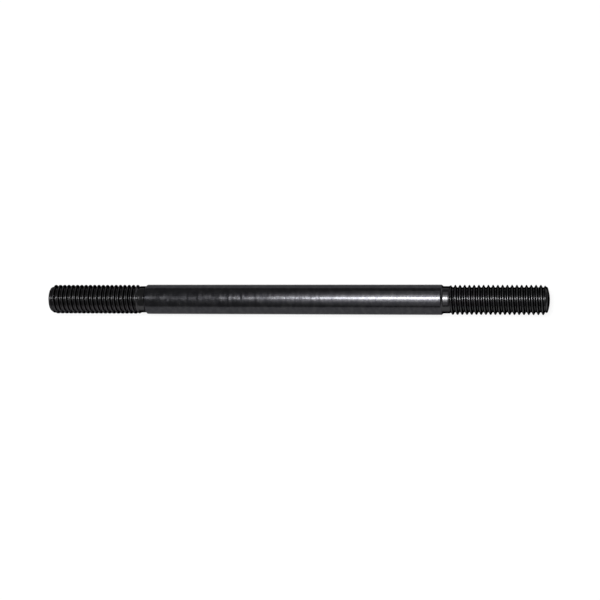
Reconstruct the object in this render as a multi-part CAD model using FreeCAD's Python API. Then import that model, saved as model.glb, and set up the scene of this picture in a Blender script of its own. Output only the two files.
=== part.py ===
"""A double ended stud: one steel rod, threaded at both ends, with a plain shank between.

Sizes are in millimetres. The axis lies along X, the middle of the axis is the origin, and +Z is up.
Each end is a rolled 1/2 in coarse thread: the rod is drawn down to the thread's pitch diameter, and the
rolls push the metal out of the roots and into the crests. What stays plain of that drawn-down rod is the
neck between the thread and the shank.
"""

import FreeCAD, Part
import math
import os
from BOPTools import SplitAPI
from FreeCAD import Vector

# Lengths along the axis
LENGTH = 215.9
THREADED_END = 44.45  # from the tip to the start of the full shank, neck included
NECK_LENGTH = 2.3

# Shank
SHANK_DIAMETER = 12.7
SHOULDER_ANGLE = 45.0  # degrees from the axis, the cone between the neck and the shank

# Thread, 13 to the inch, right hand
PITCH = 25.4 / 13
CREST_DIAMETER = 12.5
CREST_FLAT = 0.34  # width of the flat on top of a ridge
FLANK_ANGLE = 30.0  # degrees from the plane square to the axis
FADE_ANGLE = 24.0  # degrees from the axis, the cone on which the last crests sink to the neck

# Tip
DOME_RADIUS = 15.6
DOME_DIAMETER = 10.2
POINT_ANGLE = 36.0  # degrees from the axis, the cone between the dome and the full crests

# Where each thread stands as it leaves the neck, in degrees about the axis
RIGHT_THREAD_TURN = 166.0
LEFT_THREAD_TURN = 43.0

# The blank stands this far over the crests, so that the thread's own surface cuts it all the way round
OVERSIZE = 0.03
# The groove ends this far clear of the neck, where it has faded out
LIFT = 0.1

ORIGIN = Vector(0, 0, 0)
Y_AXIS = Vector(0, 1, 0)
Z_AXIS = Vector(0, 0, 1)

flank = math.tan(math.radians(FLANK_ANGLE))
shank_radius = SHANK_DIAMETER / 2
crest_radius = CREST_DIAMETER / 2
# At the pitch diameter a ridge is as wide as a groove, and the neck is as thick as this
neck_radius = crest_radius - (PITCH / 2 - CREST_FLAT) / 2 / flank
# The two flanks of a groove meet at its root
root_radius = neck_radius - PITCH / 4 / flank


def cone_length(radius_step, angle):
    """Axial length of a cone that climbs this radius_step at this angle from the axis."""
    return radius_step / math.tan(math.radians(angle))


# Stations along one end, as heights over its tip
dome_height = DOME_RADIUS - math.sqrt(DOME_RADIUS ** 2 - (DOME_DIAMETER / 2) ** 2)
neck_top = THREADED_END - cone_length(shank_radius - neck_radius, SHOULDER_ANGLE)
neck_foot = neck_top - NECK_LENGTH


def blank():
    """The whole rod as turned, before its threads: a half section spun about its axis."""
    blank_radius = crest_radius + OVERSIZE
    dome_edge = DOME_DIAMETER / 2
    stations = [
        (dome_edge, dome_height),
        (blank_radius, dome_height + cone_length(blank_radius - dome_edge, POINT_ANGLE)),
        (blank_radius, neck_foot - cone_length(blank_radius - neck_radius, FADE_ANGLE)),
        (neck_radius, neck_foot),
        (neck_radius, neck_top),
        (shank_radius, THREADED_END),
    ]
    left = [Vector(radius, 0, height) for radius, height in stations]
    right = [Vector(radius, 0, LENGTH - height) for radius, height in reversed(stations)]
    corners = left + right
    lines = [Part.makeLine(start, end) for start, end in zip(corners, corners[1:])]
    axis = Part.makeLine(Vector(0, 0, LENGTH), ORIGIN)
    section = Part.Wire([dome(0, 1)] + lines + [dome(LENGTH, -1), axis])
    return Part.Face(section).revolve(ORIGIN, Z_AXIS, 360)


def dome(tip, inward):
    """Half section of the dome with its tip at this height, as an arc from one side to the other."""
    spread = math.asin(DOME_DIAMETER / 2 / DOME_RADIUS)
    points = []
    for share in (0.0, 0.5, 1.0):
        drop = DOME_RADIUS * (1 - math.cos(spread * share))
        points.append(Vector(DOME_RADIUS * math.sin(spread * share), 0, tip + inward * drop))
    if inward < 0:
        points.reverse()
    return Part.Arc(*points).toShape()


def helix(radius, height, widening=0.0):
    """One turn of a right-hand helix from this height, whose radius grows by widening."""
    cone = math.atan(widening / PITCH)
    slant = PITCH / math.cos(cone)
    turn = Part.makeHelix(slant, slant, radius, math.degrees(cone)).Edges[0]
    turn.translate(Vector(0, 0, height))
    return turn


def thread():
    """Crests and flanks of one thread, as one open surface that starts off the tip and ends at the neck.

    Each turn is three ruled strips: the flank down to the root, the flank up from it and the next crest.
    In the last turn the root climbs out of the rod, so the groove fades out in the neck.
    """
    half_mouth = (PITCH - CREST_FLAT) / 2
    last_groove = neck_foot + half_mouth - PITCH
    strips = []
    for turns_left in range(math.ceil(neck_foot / PITCH) + 1, -1, -1):
        groove = last_groove - turns_left * PITCH
        fade = neck_radius + LIFT - root_radius if turns_left == 0 else 0.0
        rim = helix(crest_radius, groove - half_mouth)
        root = helix(root_radius, groove, fade)
        far_rim = helix(crest_radius, groove + half_mouth)
        next_rim = helix(crest_radius, groove + PITCH - half_mouth)
        for start, end in ((rim, root), (root, far_rim), (far_rim, next_rim)):
            strips.append(Part.makeRuledSurface(start, end))
    surface = Part.makeShell(strips)
    surface.sewShape()
    return surface


def stud():
    """The blank, parted by the surfaces of its two threads. The core that stays is the stud."""
    left = thread()
    left.rotate(ORIGIN, Z_AXIS, LEFT_THREAD_TURN)
    right = thread()
    right.rotate(ORIGIN, Z_AXIS, RIGHT_THREAD_TURN)
    right.rotate(Vector(0, 0, LENGTH / 2), Y_AXIS, 180)
    pieces = SplitAPI.slice(blank(), [left, right], "Split")
    core = max(pieces.Solids, key=lambda piece: piece.Volume)
    core.translate(Vector(0, 0, -LENGTH / 2))
    core.rotate(ORIGIN, Y_AXIS, 90)
    return core


os.makedirs("parts", exist_ok=True)
stud().exportStep("parts/stud.step")
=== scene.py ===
"""The looks of a blackened steel double ended stud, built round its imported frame.

The stud is one piece. Its mesh follows the same rules as the solid, with the fine form that the solid
leaves out: the rounded roots and slightly crowned crests of the rolled thread, and the small radii at its
crests, shoulders and tips.
"""

import logging
import math
from dataclasses import dataclass
from enum import Enum
from typing import Any

import bpy
from mathutils import Matrix, Vector


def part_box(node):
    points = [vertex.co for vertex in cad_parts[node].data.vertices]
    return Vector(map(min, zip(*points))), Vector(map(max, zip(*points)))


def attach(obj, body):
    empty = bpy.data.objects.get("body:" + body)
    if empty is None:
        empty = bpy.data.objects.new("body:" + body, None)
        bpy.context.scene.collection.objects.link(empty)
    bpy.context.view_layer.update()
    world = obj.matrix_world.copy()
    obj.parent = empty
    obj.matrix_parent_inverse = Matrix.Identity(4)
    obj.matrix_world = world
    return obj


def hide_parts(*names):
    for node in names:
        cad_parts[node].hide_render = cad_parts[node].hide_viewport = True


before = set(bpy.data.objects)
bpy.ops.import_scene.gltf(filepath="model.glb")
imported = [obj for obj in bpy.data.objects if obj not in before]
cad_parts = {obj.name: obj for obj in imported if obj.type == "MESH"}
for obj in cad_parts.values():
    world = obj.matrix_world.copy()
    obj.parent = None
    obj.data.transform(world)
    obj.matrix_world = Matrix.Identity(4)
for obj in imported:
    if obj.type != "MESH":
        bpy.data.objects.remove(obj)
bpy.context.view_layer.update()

MM = 0.001
FULL_TURN = 360.0
QUARTER_TURN = 90.0
ROLLED = "rolled"
LOG = logging.getLogger("stud")


class End(Enum):
    """The stud's two ends, each with the way it runs along X from its tip."""

    LEFT = 1.0
    RIGHT = -1.0


@dataclass(frozen=True)
class ThreadSize:
    """Sizes of one rolled end, in metres, and of its fade into the neck.

    Attributes:
        pitch: Distance from one ridge to the next.
        crest_radius: Radius over the ridges.
        crest_flat: Width of the flat on top of a ridge.
        crown: Radius to which that flat is slightly rounded, as the rolls leave it.
        root_radius: Radius at the bottom of the grooves.
        crest_blend: Height over which a crest's edge is rounded.
        root_blend: Height over which a root's corner is rounded.
        fade_slope: Rise over run of the cone on which the last crests sink to the neck.
        fade_length: Axial length over which the last groove gets shallow.
    """

    pitch: float = 25.4 / 13 * MM
    crest_radius: float = 6.25 * MM
    crest_flat: float = 0.34 * MM
    crown: float = 1.1 * MM
    root_radius: float = 5.17 * MM
    crest_blend: float = 0.08 * MM
    root_blend: float = 0.22 * MM
    fade_slope: float = math.tan(math.radians(24))
    fade_length: float = 2.2 * MM

    @property
    def flank_slope(self) -> float:
        """Rise over run of a flank, 30 degrees from the plane square to the axis."""
        return 1 / math.tan(math.radians(30))

    @property
    def pitch_radius(self) -> float:
        """Radius at which a ridge is as wide as a groove."""
        return self.crest_radius - (self.pitch / 2 - self.crest_flat) / 2 * self.flank_slope


@dataclass(frozen=True)
class TipSize:
    """Sizes of a tip, in metres: a low dome, then a cone up to the full crests.

    Attributes:
        dome_radius: Radius of the ball that the dome is a part of.
        dome_edge: Radius of the dome's edge, where the cone starts.
        point_slope: How fast the cone widens, as rise over run.
        blend: Height over which the corner of cone and crests is rounded.
    """

    dome_radius: float = 15.6 * MM
    dome_edge: float = 5.1 * MM
    point_slope: float = math.tan(math.radians(36))
    blend: float = 0.25 * MM


@dataclass(frozen=True)
class ShankSize:
    """Sizes of the plain shank's two ends and necks, in metres. Its length and radius are the frame's.

    Attributes:
        threaded_end: Length of a threaded end with its neck and shoulder.
        neck_length: Length of a neck.
        shoulder_slope: How fast a shoulder widens from neck to shank, as rise over run.
        blend: Height over which a shoulder's corners are rounded.
    """

    threaded_end: float = 44.45 * MM
    neck_length: float = 2.3 * MM
    shoulder_slope: float = math.tan(math.radians(45))
    blend: float = 0.22 * MM


@dataclass(frozen=True)
class Fineness:
    """How finely the mesh is divided.

    Attributes:
        segments: Columns round the stud.
        rows_per_pitch: Rows in each turn of a thread.
        shoulder_rows: Rows from the middle of a neck to the top of its shoulder.
        shank_rows: Rows from there to the middle of the shank.
    """

    segments: int = 96
    rows_per_pitch: int = 16
    shoulder_rows: int = 14
    shank_rows: int = 10


def linear(hex_colour: str) -> tuple[float, float, float, float]:
    """Turns an sRGB hex colour into the linear colour that shaders take, by sRGB's own curve.

    Args:
        hex_colour: Such as "#2a2a2a".

    Returns:
        Red, green, blue and alpha.
    """
    parts = [int(hex_colour[i : i + 2], 16) / 255 for i in (1, 3, 5)]
    straight = [p / 12.92 if p <= 0.04045 else ((p + 0.055) / 1.055) ** 2.4 for p in parts]
    return (*straight, 1.0)


def add_node(
    tree: bpy.types.NodeTree,
    kind: str,
    settings: dict[str, Any] | None = None,
    inputs: dict[str | int, Any] | None = None,
) -> bpy.types.Node:
    """Adds a node with its settings, and links or fills its inputs.

    Args:
        tree: The tree to add to.
        kind: The node's type name.
        settings: Values for the node's own properties, by name.
        inputs: Values, sockets or fields for its inputs, by input name or number.

    Returns:
        The new node.
    """
    node = tree.nodes.new(kind)
    for name, value in (settings or {}).items():
        setattr(node, name, value)
    for key, value in (inputs or {}).items():
        if isinstance(value, Field):
            value = value.socket
        if isinstance(value, bpy.types.NodeSocket):
            tree.links.new(value, node.inputs[key])
        else:
            node.inputs[key].default_value = value
    return node


class Field:
    """A number worked out by nodes, so that a formula can be written as one."""

    def __init__(self, tree: bpy.types.NodeTree, socket: bpy.types.NodeSocket) -> None:
        """Wraps a socket.

        Args:
            tree: The tree that the socket is in.
            socket: The output that carries the number.
        """
        self.tree = tree
        self.socket = socket

    def math(self, operation: str, *others: "Field | float") -> "Field":
        """Works out a further number from this one.

        Args:
            operation: What is done, in the words of the math node.
            others: The one or two other numbers it takes.

        Returns:
            The result.
        """
        inputs = dict(enumerate((self, *others)))
        node = add_node(self.tree, "ShaderNodeMath", {"operation": operation}, inputs)
        return Field(self.tree, node.outputs[0])

    def __add__(self, other: "Field | float") -> "Field":
        """This number plus another."""
        return self.math("ADD", other)

    def __sub__(self, other: "Field | float") -> "Field":
        """This number less another."""
        return self.math("SUBTRACT", other)

    def __mul__(self, other: "Field | float") -> "Field":
        """This number times another."""
        return self.math("MULTIPLY", other)

    def __truediv__(self, other: "Field | float") -> "Field":
        """This number divided by another."""
        return self.math("DIVIDE", other)


class StudTree:
    """The geometry nodes that make the stud from its sizes.

    Attributes:
        NUMBERS: The tree's inputs that are lengths and slopes.
        COUNTS: Its inputs that say how finely the mesh is divided.
        DOME_SPREAD: How many times as wide apart a dome's rows stand as a thread's.
        CROWDING: How far rows are drawn towards the ridges and roots, as a share of a turn.
        SKIN_FADE: Share of the neck's length over which the rolled skin gives way to the shank's.
    """

    NUMBERS = (
        "Length", "Threaded End", "Neck Length", "Shank Radius", "Neck Radius", "Shoulder Slope",
        "Shoulder Blend", "Pitch", "Crest Radius", "Crest Flat", "Crown", "Root Radius", "Flank Slope",
        "Crest Blend", "Root Blend", "Fade Slope", "Fade Length", "Dome Radius", "Dome Edge",
        "Point Slope", "Tip Blend", "Left Start", "Right Start", "Merge Distance",
    )
    COUNTS = ("Segments", "Rows Per Pitch", "Shoulder Rows", "Shank Rows")
    DOME_SPREAD = 4.0
    CROWDING = 0.04
    SKIN_FADE = 0.25

    def __init__(self, name: str) -> None:
        """Builds the tree.

        Args:
            name: What the tree is called.
        """
        self.tree = bpy.data.node_groups.new(name, "GeometryNodeTree")
        face = self.tree.interface
        for label in self.NUMBERS:
            face.new_socket(label, in_out="INPUT", socket_type="NodeSocketFloat")
        for label in self.COUNTS:
            face.new_socket(label, in_out="INPUT", socket_type="NodeSocketInt")
        face.new_socket("Material", in_out="INPUT", socket_type="NodeSocketMaterial")
        face.new_socket("Geometry", in_out="OUTPUT", socket_type="NodeSocketGeometry")
        self.given = add_node(self.tree, "NodeGroupInput")
        self.build()

    def value(self, label: str) -> Field:
        """One of the tree's inputs as a number.

        Args:
            label: The input's name.

        Returns:
            The number.
        """
        return Field(self.tree, self.given.outputs[label])

    def grid(self, rows: Field) -> tuple[bpy.types.NodeSocket, Field, Field]:
        """A sheet of rows along the stud by columns round it.

        Args:
            rows: How many rows of points it has.

        Returns:
            The sheet, the number of each point's row, and its share of the way round.
        """
        columns = self.value("Segments") + 1.0
        counts = {"Vertices X": rows, "Vertices Y": columns}
        sheet = add_node(self.tree, "GeometryNodeMeshGrid", None, counts)
        index = Field(self.tree, add_node(self.tree, "GeometryNodeInputIndex").outputs[0])
        row = (index / columns).math("FLOOR")
        share = (index - row * columns) / self.value("Segments")
        return sheet.outputs["Mesh"], row, share

    def shoulder_radius(self, height: Field) -> Field:
        """Radius of the neck, the shoulder and the shank at a height over the tip.

        Args:
            height: The height.

        Returns:
            The radius there.
        """
        slope = self.value("Shoulder Slope")
        blend = self.value("Shoulder Blend")
        cone = self.value("Shank Radius") + (height - self.value("Threaded End")) * slope
        radius = cone.math("SMOOTH_MIN", self.value("Shank Radius"), blend)
        return radius.math("SMOOTH_MAX", self.value("Neck Radius"), blend)

    def neck_foot(self) -> Field:
        """Height over the tip at which the thread gives way to the neck.

        Returns:
            The height.
        """
        step = self.value("Shank Radius") - self.value("Neck Radius")
        shoulder = step / self.value("Shoulder Slope")
        return self.value("Threaded End") - shoulder - self.value("Neck Length")

    def seam(self) -> Field:
        """Height over the tip of the ring, half way along the neck, where thread and shank meet."""
        return self.neck_foot() + self.value("Neck Length") * 0.5

    def thread_radius(self, height: Field, share: Field, start: Field) -> Field:
        """Radius of the threaded end at a point, from its tip to the seam.

        Args:
            height: The point's height over the tip.
            share: Its share of the way round.
            start: Height of a ridge where the share is nought.

        Returns:
            The radius there.
        """
        pitch = self.value("Pitch")
        crest = self.value("Crest Radius")
        turn = (height - start) / pitch - share
        from_ridge = turn.math("ADD", 0.5).math("FLOORED_MODULO", 1.0).math("SUBTRACT", 0.5).math("ABSOLUTE")
        off_ridge = from_ridge * pitch
        flank = crest - (off_ridge - self.value("Crest Flat") * 0.5) * self.value("Flank Slope")
        top = crest - off_ridge * off_ridge * 0.5 / self.value("Crown")
        ridge = flank.math("SMOOTH_MIN", top, self.value("Crest Blend"))
        # The last groove gets shallow before the neck, and the last crests sink to it on a cone
        to_neck = self.neck_foot() - height
        fade = (self.value("Fade Length") - to_neck).math("MAXIMUM", 0.0) / self.value("Fade Length")
        rise = self.value("Neck Radius") - self.value("Root Radius")
        floor = self.value("Root Radius") + rise * fade.math("MINIMUM", 1.0)
        thread = ridge.math("SMOOTH_MAX", floor, self.value("Root Blend"))
        over_neck = to_neck.math("MAXIMUM", 0.0) * self.value("Fade Slope")
        sinking = self.value("Neck Radius") + over_neck
        return thread.math("SMOOTH_MIN", sinking, over_neck.math("MINIMUM", self.value("Tip Blend")))

    def threaded_end(self, start: Field) -> tuple[bpy.types.NodeSocket, Field, Field, Field]:
        """One end, from the middle of its dome to the seam.

        The rows climb with the thread, so each meets itself one pitch further on where the turn closes.
        Rows that would run off the tip or past the seam are held there, and the merge closes them.

        Args:
            start: Height of a ridge where the turn begins.

        Returns:
            The sheet, and each point's height, share of the way round and radius.
        """
        pitch = self.value("Pitch")
        step = pitch / self.value("Rows Per Pitch")
        edge = self.value("Dome Edge")
        dome = self.value("Dome Radius")
        dome_height = dome - (dome * dome - edge * edge).math("SQRT")
        spread = edge / self.DOME_SPREAD
        first = start - ((start - dome_height + spread) / pitch + 1.0).math("CEIL") * pitch
        rows = ((self.seam() - first) / step).math("CEIL") + 2.0
        sheet, row, share = self.grid(rows)
        # Rows stand twice as close on the ridges and in the roots, which curve most, as even rows would
        turns = row / self.value("Rows Per Pitch")
        crowding = (turns * (math.tau * 2)).math("SINE") * self.CROWDING
        along = first + (turns - crowding + share) * pitch
        # The dome's rows are spread evenly over its radius
        in_dome = (dome_height - along).math("MAXIMUM", 0.0)
        dome_radius = (edge - in_dome * self.DOME_SPREAD).math("MAXIMUM", 0.0)
        on_dome = dome - (dome * dome - dome_radius * dome_radius).math("SQRT")
        off_dome = along.math("MINIMUM", self.seam())
        is_dome = in_dome.math("GREATER_THAN", 0.0)
        height = off_dome + (on_dome - off_dome) * is_dome
        cone = edge + (height - dome_height) * self.value("Point Slope")
        thread = self.thread_radius(height, share, start)
        body = thread.math("SMOOTH_MIN", cone, self.value("Tip Blend"))
        radius = body + (dome_radius - body) * is_dome
        return sheet, height, share, radius

    def place(
        self,
        sheet: bpy.types.NodeSocket,
        along: Field,
        share: Field,
        radius: Field,
        facing: float,
        rolled: Field | float,
    ) -> bpy.types.NodeSocket:
        """Bends a sheet round the stud's axis.

        Args:
            sheet: The sheet.
            along: Each point's place along X.
            share: Its share of the way round.
            radius: Its distance from the axis.
            facing: 1, or -1 for the end that is turned end for end.
            rolled: How far its skin is that of the rolled thread, from 0 to 1.

        Returns:
            The bent sheet.
        """
        angle = share * math.tau
        across = radius * angle.math("COSINE") * facing
        up = radius * angle.math("SINE")
        spot = add_node(self.tree, "ShaderNodeCombineXYZ", None, {0: along, 1: across, 2: up})
        moved = add_node(
            self.tree, "GeometryNodeSetPosition", None, {"Geometry": sheet, "Position": spot.outputs[0]}
        )
        marked = add_node(
            self.tree,
            "GeometryNodeStoreNamedAttribute",
            {"data_type": "FLOAT", "domain": "POINT"},
            {"Geometry": moved.outputs[0], "Name": ROLLED, "Value": rolled},
        )
        return marked.outputs[0]

    def end(self, which: End) -> bpy.types.NodeSocket:
        """One threaded end in its place.

        Args:
            which: The end to make.

        Returns:
            The end's surface.
        """
        sheet, height, share, radius = self.threaded_end(self.value(f"{which.name.title()} Start"))
        along = (height - self.value("Length") * 0.5) * which.value
        return self.place(sheet, along, share, radius, which.value, 1.0)

    def shank(self) -> bpy.types.NodeSocket:
        """The plain shank with its shoulders, from seam to seam.

        Returns:
            The shank's surface.
        """
        shoulder_rows = self.value("Shoulder Rows")
        plain_rows = self.value("Shank Rows")
        half_rows = shoulder_rows + plain_rows
        sheet, row, share = self.grid(half_rows * 2.0 + 1.0)
        from_middle = row - half_rows
        from_end = half_rows - from_middle.math("ABSOLUTE")
        shoulder_end = self.value("Threaded End") + self.value("Shoulder Blend")
        fine = (shoulder_end - self.seam()) / shoulder_rows
        coarse = (self.value("Length") * 0.5 - shoulder_end) / plain_rows
        near = from_end.math("MINIMUM", shoulder_rows)
        far = (from_end - shoulder_rows).math("MAXIMUM", 0.0)
        height = self.seam() + near * fine + far * coarse
        along = (self.value("Length") * 0.5 - height) * from_middle.math("SIGN")
        to_shank = self.value("Threaded End") - height
        rolled = (to_shank / (self.value("Neck Length") * self.SKIN_FADE)).math("MINIMUM", 1.0)
        radius = self.shoulder_radius(height)
        return self.place(sheet, along, share, radius, 1.0, rolled.math("MAXIMUM", 0.0))

    def build(self) -> None:
        """Joins the parts, closes them, and gives them their material."""
        tree = self.tree
        join = add_node(tree, "GeometryNodeJoinGeometry")
        for part in [self.end(End.LEFT), self.shank(), self.end(End.RIGHT)]:
            tree.links.new(part, join.inputs[0])
        closed = add_node(
            tree,
            "GeometryNodeMergeByDistance",
            None,
            {"Geometry": join.outputs[0], "Distance": self.value("Merge Distance")},
        )
        outward = add_node(tree, "GeometryNodeFlipFaces", None, {"Mesh": closed.outputs[0]})
        smooth = add_node(tree, "GeometryNodeSetShadeSmooth", None, {"Geometry": outward.outputs[0]})
        real = add_node(tree, "GeometryNodeRealizeInstances", None, {"Geometry": smooth.outputs[0]})
        dressed = add_node(
            tree,
            "GeometryNodeSetMaterial",
            None,
            {"Geometry": real.outputs[0], "Material": self.given.outputs["Material"]},
        )
        add_node(tree, "NodeGroupOutput", None, {"Geometry": dressed.outputs[0]})


@dataclass(frozen=True)
class Pattern:
    """A pattern in a finish: noise that is drawn out along some directions.

    Attributes:
        size: Size of its coarsest marks, in metres.
        stretch: How much of each coordinate is used, where a small share draws the marks out that way.
        detail: How much finer noise lies over the coarsest.
    """

    size: float
    stretch: tuple[float, float, float]
    detail: float

    def build(self, tree: bpy.types.NodeTree, place: bpy.types.NodeSocket) -> bpy.types.NodeSocket:
        """Adds the pattern to a material.

        Args:
            tree: The material's nodes.
            place: The coordinates to start from.

        Returns:
            The pattern's value at each place.
        """
        bent = add_node(tree, "ShaderNodeVectorMath", {"operation": "MULTIPLY"}, {0: place, 1: self.stretch})
        noise = add_node(
            tree,
            "ShaderNodeTexNoise",
            None,
            {"Vector": bent.outputs[0], "Scale": 1 / self.size, "Detail": self.detail},
        )
        return noise.outputs[0]


@dataclass(frozen=True)
class BlackOxide:
    """Chemically blackened steel, lightly oiled.

    The bath turns the skin of the steel into a thin black film that keeps every mark under it, so the eye
    sees turning marks and a gleam with ragged, hazy edges in something nearly black. Real turning marks and
    grain are finer than these, which are drawn as coarse as they need to be to show.

    Attributes:
        dark: Where the film is thickest.
        pale: Where handling has thinned it.
        threaded: On the threads, whose rolled skin is smoother and catches more light.
        bare: Of the steel in the scuff.
        edge: How much of the glare the film keeps on the shank where it is seen edge on.
        threaded_edge: The same on the threads, whose oil-wet flanks keep less.
        roughness: Of the clean film.
        burnish: How much less rough the rolls leave the threads.
        marks: The turning marks, which run round the stud.
        clouds: The film's clouds, which are also the drawn bar's waves.
        grain: The film's grain.
        noise_range: Between which values nearly all of a pattern lies.
        worn_range: The clouds' values at which the film starts to thin and has thinned fully.
        marks_swing: How the turning marks change the roughness, at most down and up.
        clouds_swing: How the clouds change it.
        wave_depth: How deep the drawn bar's waves look, in metres.
        mark_depth: How deep the turning marks look, in metres.
        grain_depth: How deep the grain looks, in metres.
        scuff: Middle of the small scuff on the shank, in metres.
        scuff_reach: How far the scuff reaches, in metres.
        scuff_core: Share of that within which the scuff is at its full strength.
        scuff_rag: Share of that by which the grain draws in the scuff's edge, at most.
    """

    dark: str = "#363639"
    pale: str = "#404042"
    threaded: str = "#3c3c3d"
    bare: str = "#6e6e72"
    edge: str = "#c0c0c0"
    threaded_edge: str = "#484848"
    roughness: float = 0.14
    burnish: float = 0.06
    marks: Pattern = Pattern(0.45 * MM, (1.0, 0.03, 0.03), 5.0)
    clouds: Pattern = Pattern(1.6 * MM, (1.0, 0.6, 0.6), 4.0)
    grain: Pattern = Pattern(0.1125 * MM, (1.0, 1.0, 1.0), 2.0)
    noise_range: tuple[float, float] = (0.3, 0.7)
    worn_range: tuple[float, float] = (0.42, 0.68)
    marks_swing: tuple[float, float] = (-0.02, 0.08)
    clouds_swing: tuple[float, float] = (-0.03, 0.06)
    wave_depth: float = 0.04 * MM
    mark_depth: float = 0.0012 * MM
    grain_depth: float = 0.0003 * MM
    scuff: tuple[float, float, float] = (-52.9 * MM, -2.48 * MM, 5.84 * MM)
    scuff_reach: float = 0.9 * MM
    scuff_core: float = 0.3
    scuff_rag: float = 0.6

    def worn(self, tree: bpy.types.NodeTree, clouds: bpy.types.NodeSocket) -> bpy.types.NodeSocket:
        """Where handling has thinned the film.

        Args:
            tree: The material's nodes.
            clouds: The clouds' value.

        Returns:
            1 where it is thinnest, 0 where it is thickest.
        """
        low, high = self.worn_range
        inputs = {"Value": clouds, "From Min": low, "From Max": high}
        return add_node(tree, "ShaderNodeMapRange", None, inputs).outputs[0]

    def scuffed(
        self, tree: bpy.types.NodeTree, place: bpy.types.NodeSocket, grain: bpy.types.NodeSocket
    ) -> bpy.types.NodeSocket:
        """Where the scuff is, with an edge broken up by the grain.

        Args:
            tree: The material's nodes.
            place: The coordinates.
            grain: The grain's value.

        Returns:
            1 in the scuff, 0 outside it.
        """
        low, high = self.noise_range
        away = add_node(tree, "ShaderNodeVectorMath", {"operation": "DISTANCE"}, {0: place, 1: self.scuff})
        ragged = add_node(
            tree,
            "ShaderNodeMapRange",
            None,
            {"Value": grain, "From Min": low, "From Max": high, "To Max": self.scuff_rag * self.scuff_reach},
        )
        inside = {
            "Value": Field(tree, away.outputs["Value"]) + Field(tree, ragged.outputs[0]),
            "From Min": self.scuff_core * self.scuff_reach,
            "From Max": self.scuff_reach,
            "To Min": 1.0,
            "To Max": 0.0,
        }
        return add_node(tree, "ShaderNodeMapRange", None, inside).outputs[0]

    def layered(
        self, tree: bpy.types.NodeTree, base: str, *layers: tuple[bpy.types.NodeSocket, str]
    ) -> bpy.types.NodeSocket:
        """A colour with others laid over it in turn.

        Args:
            tree: The material's nodes.
            base: The colour underneath.
            layers: For each layer, where it lies, from 0 to 1, and its colour.

        Returns:
            The colour that shows.
        """
        shown = linear(base)
        for where, colour in layers:
            # The node has inputs for numbers and vectors too, so its colours are picked by their place
            inputs = {0: where, 6: shown, 7: linear(colour)}
            shown = add_node(tree, "ShaderNodeMix", {"data_type": "RGBA"}, inputs).outputs[2]
        return shown

    def local_roughness(
        self,
        tree: bpy.types.NodeTree,
        marks: bpy.types.NodeSocket,
        clouds: bpy.types.NodeSocket,
        rolled: bpy.types.NodeSocket,
    ) -> bpy.types.NodeSocket:
        """Roughness of the film, which the marks and the clouds change, and the rolls have lowered.

        Args:
            tree: The material's nodes.
            marks: The turning marks' value.
            clouds: The clouds' value.
            rolled: How far the skin is that of the rolled thread.

        Returns:
            The roughness.
        """
        low, high = self.noise_range
        changes = ((marks, self.roughness, self.marks_swing), (clouds, 0.0, self.clouds_swing))
        parts = []
        for value, base, swing in changes:
            inputs = {"Value": value, "From Min": low, "From Max": high}
            inputs.update({"To Min": base + swing[0], "To Max": base + swing[1]})
            parts.append(Field(tree, add_node(tree, "ShaderNodeMapRange", None, inputs).outputs[0]))
        rough = parts[0] + parts[1] - Field(tree, rolled) * self.burnish
        return rough.socket

    def relief(
        self, tree: bpy.types.NodeTree, *layers: tuple[bpy.types.NodeSocket, float]
    ) -> bpy.types.NodeSocket:
        """Small heights and hollows that the light shows, each layer over the last.

        Args:
            tree: The material's nodes.
            layers: Each layer's pattern and how deep it looks, in metres.

        Returns:
            The way the surface faces.
        """
        # The first layer starts from the way the mesh itself faces
        inputs: dict[str, Any] = {}
        for pattern, depth in layers:
            inputs.update({"Height": pattern, "Distance": depth})
            inputs["Normal"] = add_node(tree, "ShaderNodeBump", None, inputs).outputs[0]
        return inputs["Normal"]

    def material(self) -> bpy.types.Material:
        """Builds the material.

        Returns:
            The material.
        """
        material = bpy.data.materials.new("Black oxide on turned and rolled steel")
        material.use_nodes = True
        tree = material.node_tree
        place = add_node(tree, "ShaderNodeTexCoord").outputs["Object"]
        rolled = add_node(tree, "ShaderNodeAttribute", {"attribute_name": ROLLED}).outputs["Fac"]
        marks = self.marks.build(tree, place)
        clouds = self.clouds.build(tree, place)
        grain = self.grain.build(tree, place)
        worn = self.worn(tree, clouds)
        scuffed = self.scuffed(tree, place, grain)
        layers = ((worn, self.pale), (rolled, self.threaded), (scuffed, self.bare))
        film = self.layered(tree, self.dark, *layers)
        glare = self.layered(tree, self.edge, (rolled, self.threaded_edge))
        rough = self.local_roughness(tree, marks, clouds, rolled)
        depths = ((clouds, self.wave_depth), (marks, self.mark_depth), (grain, self.grain_depth))
        relief = self.relief(tree, *depths)
        shader = tree.nodes["Principled BSDF"]
        shader.inputs["Metallic"].default_value = 1.0
        tree.links.new(film, shader.inputs["Base Color"])
        tree.links.new(glare, shader.inputs["Specular Tint"])
        tree.links.new(rough, shader.inputs["Roughness"])
        tree.links.new(relief, shader.inputs["Normal"])
        return material


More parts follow.
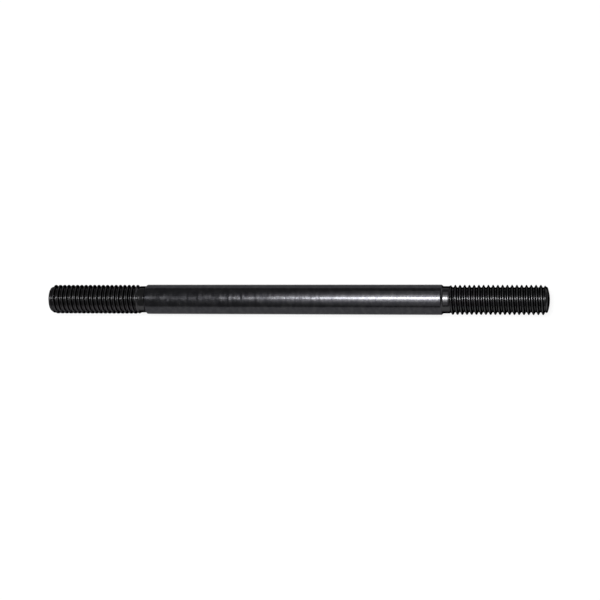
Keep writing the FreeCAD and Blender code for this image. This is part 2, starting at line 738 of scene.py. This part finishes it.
@dataclass(frozen=True)
class Stud:
    """The stud's mesh and finish.

    Attributes:
        thread: Sizes of the threads.
        tip: Sizes of the tips.
        shank: Sizes of the shank.
        fineness: How finely it is divided.
        finish: What it is coated with.
        left_turn: Where the left thread leaves its neck, in degrees about the axis from straight down.
        right_turn: Where the right thread does, in degrees about the axis from straight up.
        hair: Distance, in metres, below which points of the mesh are merged. Each tip stays this far
            inside the frame, because merging can move its middle point.
    """

    thread: ThreadSize = ThreadSize()
    tip: TipSize = TipSize()
    shank: ShankSize = ShankSize()
    fineness: Fineness = Fineness()
    finish: BlackOxide = BlackOxide()
    left_turn: float = 43.0
    right_turn: float = 166.0
    hair: float = 0.002 * MM

    def inputs(self, length: float, shank_radius: float) -> dict[str, float]:
        """What the tree is given, apart from the material.

        Args:
            length: The stud's length from tip to tip.
            shank_radius: The radius of its shank.

        Returns:
            A value for each number and count of the tree.
        """
        thread, tip, shank, fine = self.thread, self.tip, self.shank, self.fineness
        neck_radius = thread.pitch_radius
        shoulder = (shank_radius - neck_radius) / shank.shoulder_slope
        neck_foot = shank.threaded_end - shoulder - shank.neck_length
        # At the turn given, the last ridge's middle lies half a crest's width short of the neck's foot.
        # The tree counts a turn from the side: a quarter turn past straight down, or short of straight up
        ridge = neck_foot - thread.crest_flat / 2
        return {
            "Length": length - 2 * self.hair,
            "Threaded End": shank.threaded_end,
            "Neck Length": shank.neck_length,
            "Shank Radius": shank_radius,
            "Neck Radius": neck_radius,
            "Shoulder Slope": shank.shoulder_slope,
            "Shoulder Blend": shank.blend,
            "Pitch": thread.pitch,
            "Crest Radius": thread.crest_radius,
            "Crest Flat": thread.crest_flat,
            "Crown": thread.crown,
            "Root Radius": thread.root_radius,
            "Flank Slope": thread.flank_slope,
            "Crest Blend": thread.crest_blend,
            "Root Blend": thread.root_blend,
            "Fade Slope": thread.fade_slope,
            "Fade Length": thread.fade_length,
            "Dome Radius": tip.dome_radius,
            "Dome Edge": tip.dome_edge,
            "Point Slope": tip.point_slope,
            "Tip Blend": tip.blend,
            "Left Start": ridge + thread.pitch * (QUARTER_TURN - self.left_turn) / FULL_TURN,
            "Right Start": ridge + thread.pitch * (-QUARTER_TURN - self.right_turn) / FULL_TURN,
            "Merge Distance": self.hair,
            "Segments": fine.segments,
            "Rows Per Pitch": fine.rows_per_pitch,
            "Shoulder Rows": fine.shoulder_rows,
            "Shank Rows": fine.shank_rows,
        }

    def skin(self) -> bpy.types.Mesh:
        """Makes the mesh, as long and as thick as the frame says.

        Returns:
            The mesh, with its material on it.
        """
        low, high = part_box("stud")
        given: dict[str, Any] = {"Material": self.finish.material()}
        given.update(self.inputs(high[0] - low[0], min(high[1], high[2])))
        carrier = bpy.data.objects.new("stud_carrier", bpy.data.meshes.new("stud_seed"))
        bpy.context.scene.collection.objects.link(carrier)
        modifier = carrier.modifiers.new("Stud", "NODES")
        modifier.node_group = StudTree("Rolled stud").tree
        for item in modifier.node_group.interface.items_tree:
            if item.in_out == "INPUT":
                modifier[item.identifier] = given[item.name]
        evaluated = carrier.evaluated_get(bpy.context.evaluated_depsgraph_get())
        mesh = bpy.data.meshes.new_from_object(evaluated)
        mesh.name = "stud_skin"
        bpy.data.objects.remove(carrier)
        return mesh

    def build(self) -> bpy.types.Object:
        """Makes the stud and binds it to the frame.

        Returns:
            The finished object.
        """
        piece = bpy.data.objects.new("stud_skin", self.skin())
        bpy.context.scene.collection.objects.link(piece)
        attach(piece, "root")
        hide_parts("stud")
        return piece


@dataclass(frozen=True)
class Camera:
    """The photograph's view of the stud, with its right end nearer.

    Attributes:
        aim: The point of the stud's axis in the middle of the picture, in metres along X.
        distance: From there to the lens, in metres.
        yaw: How far the view leans along the stud, in degrees from square.
        elevation: How far it looks down, in degrees.
        lens: Focal length, in millimetres.
        sensor: Width of the sensor, in millimetres.
        drop: How far the camera stands below the stud's axis, square to the view, in metres.
        roll: How far the camera is turned about its line of sight, in degrees, so that the right end sinks.
    """

    aim: float = 3.27 * MM
    distance: float = 0.6612
    yaw: float = 11.12
    elevation: float = 70.0
    lens: float = 93.6
    sensor: float = 36.0
    drop: float = 0.2 * MM
    roll: float = 0.095

    def forward(self) -> Vector:
        """The way the camera looks, as a unit vector."""
        yaw, down = math.radians(self.yaw), math.radians(self.elevation)
        return Vector((-math.sin(yaw), math.cos(yaw) * math.cos(down), -math.cos(yaw) * math.sin(down)))

    def build(self) -> bpy.types.Object:
        """Sets up the camera so that the stud lies level in the picture.

        Returns:
            The camera.
        """
        data = bpy.data.cameras.new("camera")
        data.sensor_width = self.sensor
        data.lens = self.lens
        camera = bpy.data.objects.new("camera", data)
        bpy.context.scene.collection.objects.link(camera)
        forward = self.forward()
        right = Vector((1, 0, 0)) - forward * forward.x
        right.normalize()
        up = right.cross(forward)
        spot = Vector((self.aim, 0, 0)) - forward * self.distance - up * self.drop
        roll = math.radians(self.roll)
        level = right * math.cos(roll) + up * math.sin(roll)
        turn = Matrix((level, level.cross(forward), -forward)).transposed().to_4x4()
        camera.matrix_world = Matrix.Translation(spot) @ turn
        bpy.context.scene.camera = camera
        return camera


@dataclass(frozen=True)
class Lamp:
    """A lamp behind a white cloth, which hangs over the stud and faces it.

    Attributes:
        name: What it is called.
        left: Where its left edge is along X, in metres.
        right: Where its right edge is along X, in metres.
        height: Its size square to that, in metres.
        brightness: Of its cloth, where 1 is as bright as the white of the picture.
        colour: Of its light.
    """

    name: str
    left: float
    right: float
    height: float
    brightness: float
    colour: str = "#ffffff"

    def build(self, distance: float, elevation: float) -> bpy.types.Object:
        """Hangs the lamp, on the camera's side of the stud.

        Args:
            distance: From the stud's axis to the lamp, in metres.
            elevation: How high over the horizon it hangs, in degrees.

        Returns:
            The lamp.
        """
        width = self.right - self.left
        data = bpy.data.lights.new(self.name, "AREA")
        data.shape = "RECTANGLE"
        data.size, data.size_y = width, self.height
        data.energy = self.brightness * math.pi * width * self.height
        data.color = linear(self.colour)[:3]
        lamp = bpy.data.objects.new(self.name, data)
        bpy.context.scene.collection.objects.link(lamp)
        lean = math.radians(elevation)
        along = Vector((1, 0, 0))
        back = Vector((0, -math.cos(lean), math.sin(lean)))
        turn = Matrix((along, back.cross(along), back)).transposed().to_4x4()
        middle = (self.left + self.right) / 2
        lamp.matrix_world = Matrix.Translation(along * middle + back * distance) @ turn
        lamp.visible_camera = False
        return lamp


@dataclass(frozen=True)
class MattPaper:
    """White matt paper, uncoated, which gives the eye an even white with no gleam and a faint shadow.

    Attributes:
        colour: Of the paper.
        glow: Share of plain white in what is seen of it.
    """

    colour: str = "#fcfcfc"
    glow: float = 0.9

    def seen(self, tree: bpy.types.NodeTree) -> Field:
        """Whether a ray shows the background, straight or by way of a mirror or a glass.

        Args:
            tree: The tree to add the nodes to.

        Returns:
            1 where it does, otherwise 0.
        """
        path = add_node(tree, "ShaderNodeLightPath")
        straight = Field(tree, path.outputs["Is Camera Ray"])
        mirrored = Field(tree, path.outputs["Is Glossy Ray"])
        through = Field(tree, path.outputs["Is Transmission Ray"])
        return straight.math("MAXIMUM", mirrored).math("MAXIMUM", through)

    def material(self) -> bpy.types.Material:
        """Builds the material.

        Returns:
            The material.
        """
        material = bpy.data.materials.new("White matt paper")
        material.use_nodes = True
        tree = material.node_tree
        tree.nodes.clear()
        paper = add_node(tree, "ShaderNodeBsdfDiffuse", None, {"Color": linear(self.colour)})
        white = add_node(tree, "ShaderNodeEmission", None, {"Strength": 1.0})
        share = self.seen(tree) * self.glow
        parts = {0: share, 1: paper.outputs[0], 2: white.outputs[0]}
        both = add_node(tree, "ShaderNodeMixShader", None, parts)
        add_node(tree, "ShaderNodeOutputMaterial", None, {"Surface": both.outputs[0]})
        return material


@dataclass(frozen=True)
class Studio:
    """White paper under the stud, turned up all round in the distance, and a softbox over the camera.

    The softbox is brightest in its middle. The gleam stands above the middle of the shank, where it is
    mirrored, and fades towards the far end, where the mirrored line of sight passes its left edge. The
    small kicker hangs further left, where only the rounded tops of the far end's ridges mirror it.

    Attributes:
        floor_size: Side of the paper, in metres.
        rim_height: How high its edges are turned up, in metres.
        paper: What it is made of.
        room_colour: Of the room's light.
        room_light: Brightness of the dim room above, where 1 is white.
        lamps: The softbox's parts from the brightest out, then the kicker.
        lamp_distance: From the stud to the lamps, in metres.
        lift: How far the lamps hang over the camera's elevation, in degrees.
        camera: The camera.
    """

    floor_size: float = 8.0
    rim_height: float = 0.7
    paper: MattPaper = MattPaper()
    room_colour: str = "#ffffff"
    room_light: float = 0.25
    lamps: tuple[Lamp, ...] = (
        Lamp("middle", -0.158, 0.06, 0.27, 39.0),
        Lamp("cloth", -0.165, 0.08, 0.90, 5.4),
        Lamp("halo", -0.24, 0.12, 1.60, 1.1, "#fcfcff"),
        Lamp("spill", -0.24, 0.16, 3.20, 0.60, "#fcfcff"),
        Lamp("kicker", -0.62, -0.50, 0.28, 15.0),
    )
    lamp_distance: float = 1.0
    lift: float = 11.5
    camera: Camera = Camera()

    def floor(self, height: float) -> bpy.types.Object:
        """Lays the paper.

        Args:
            height: Where its top is.

        Returns:
            The floor.
        """
        half = self.floor_size / 2
        around = [(-half, -half), (half, -half), (half, half), (-half, half)]
        corners = [(x, y, height + rise) for rise in (0.0, self.rim_height) for x, y in around]
        rims = [(i + 4, (i + 1) % 4 + 4, (i + 1) % 4, i) for i in range(4)]
        mesh = bpy.data.meshes.new("floor")
        mesh.from_pydata(corners, [], [(0, 1, 2, 3), *rims])
        mesh.materials.append(self.paper.material())
        floor = bpy.data.objects.new("floor", mesh)
        bpy.context.scene.collection.objects.link(floor)
        return floor

    def room(self) -> None:
        """Lights everything softly and dimly from all round."""
        world = bpy.data.worlds.new("room")
        world.use_nodes = True
        bpy.context.scene.world = world
        back = world.node_tree.nodes["Background"]
        back.inputs["Color"].default_value = linear(self.room_colour)
        back.inputs["Strength"].default_value = self.room_light

    def build(self, base: float) -> None:
        """Sets up the studio.

        Args:
            base: Height of the stud's lowest line.
        """
        self.floor(base)
        self.room()
        self.camera.build()
        for lamp in self.lamps:
            lamp.build(self.lamp_distance, self.camera.elevation + self.lift)


def setup_view() -> None:
    """Shows colours as they are."""
    bpy.context.scene.view_settings.view_transform = "Standard"


def main() -> None:
    """Builds the stud, then its studio."""
    logging.basicConfig(level=logging.INFO, format="%(message)s")
    setup_view()
    stud = Stud().build()
    LOG.info("stud: %d faces", len(stud.data.polygons))
    low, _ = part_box("stud")
    Studio().build(low[2])
    LOG.info("studio: floor, room, camera and lamps")


if __name__ == "__main__":
    main()
